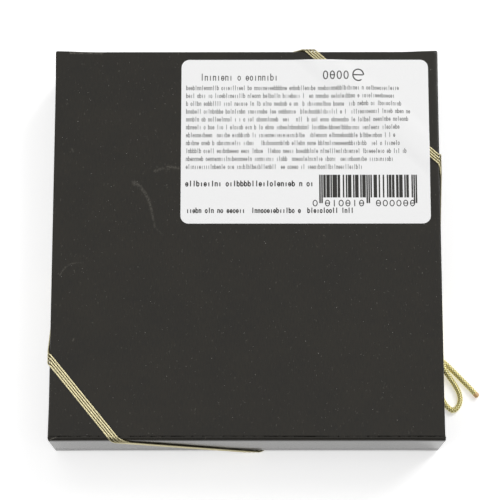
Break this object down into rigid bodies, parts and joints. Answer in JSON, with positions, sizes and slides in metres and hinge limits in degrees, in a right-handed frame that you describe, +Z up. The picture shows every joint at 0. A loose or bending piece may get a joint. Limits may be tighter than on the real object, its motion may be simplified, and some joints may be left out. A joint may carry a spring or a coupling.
{
  "type": "box of chocolate pralines",
  "caption": "Shut square black gift box of pralines lying on its lid, label side up, held by thin gold elastic across its corners with a small bow.",
  "frame": {"origin": "middle of the box's footprint, on the ground that the box lies on", "axes": "+Z up out of the labelled underside; +X to the right with the label's text upright, towards the bow; +Y towards the label's top edge"},
  "size_m": [0.1724, 0.1598, 0.0342],
  "materials": {
    "black_paper": "satin",
    "label_paper": "satin",
    "gold_elastic": "satin"
  },
  "bodies": {
    "root": {"base_tray": "black_paper", "lid": "black_paper", "label": "label_paper", "strand_1": "gold_elastic", "strand_2": "gold_elastic", "strand_3": "gold_elastic", "strand_4": "gold_elastic", "bow_knot": "gold_elastic", "bow_loop_1": "gold_elastic", "bow_loop_2": "gold_elastic", "bow_tail_1": "gold_elastic", "bow_tail_2": "gold_elastic"}
  },
  "joints": []
}
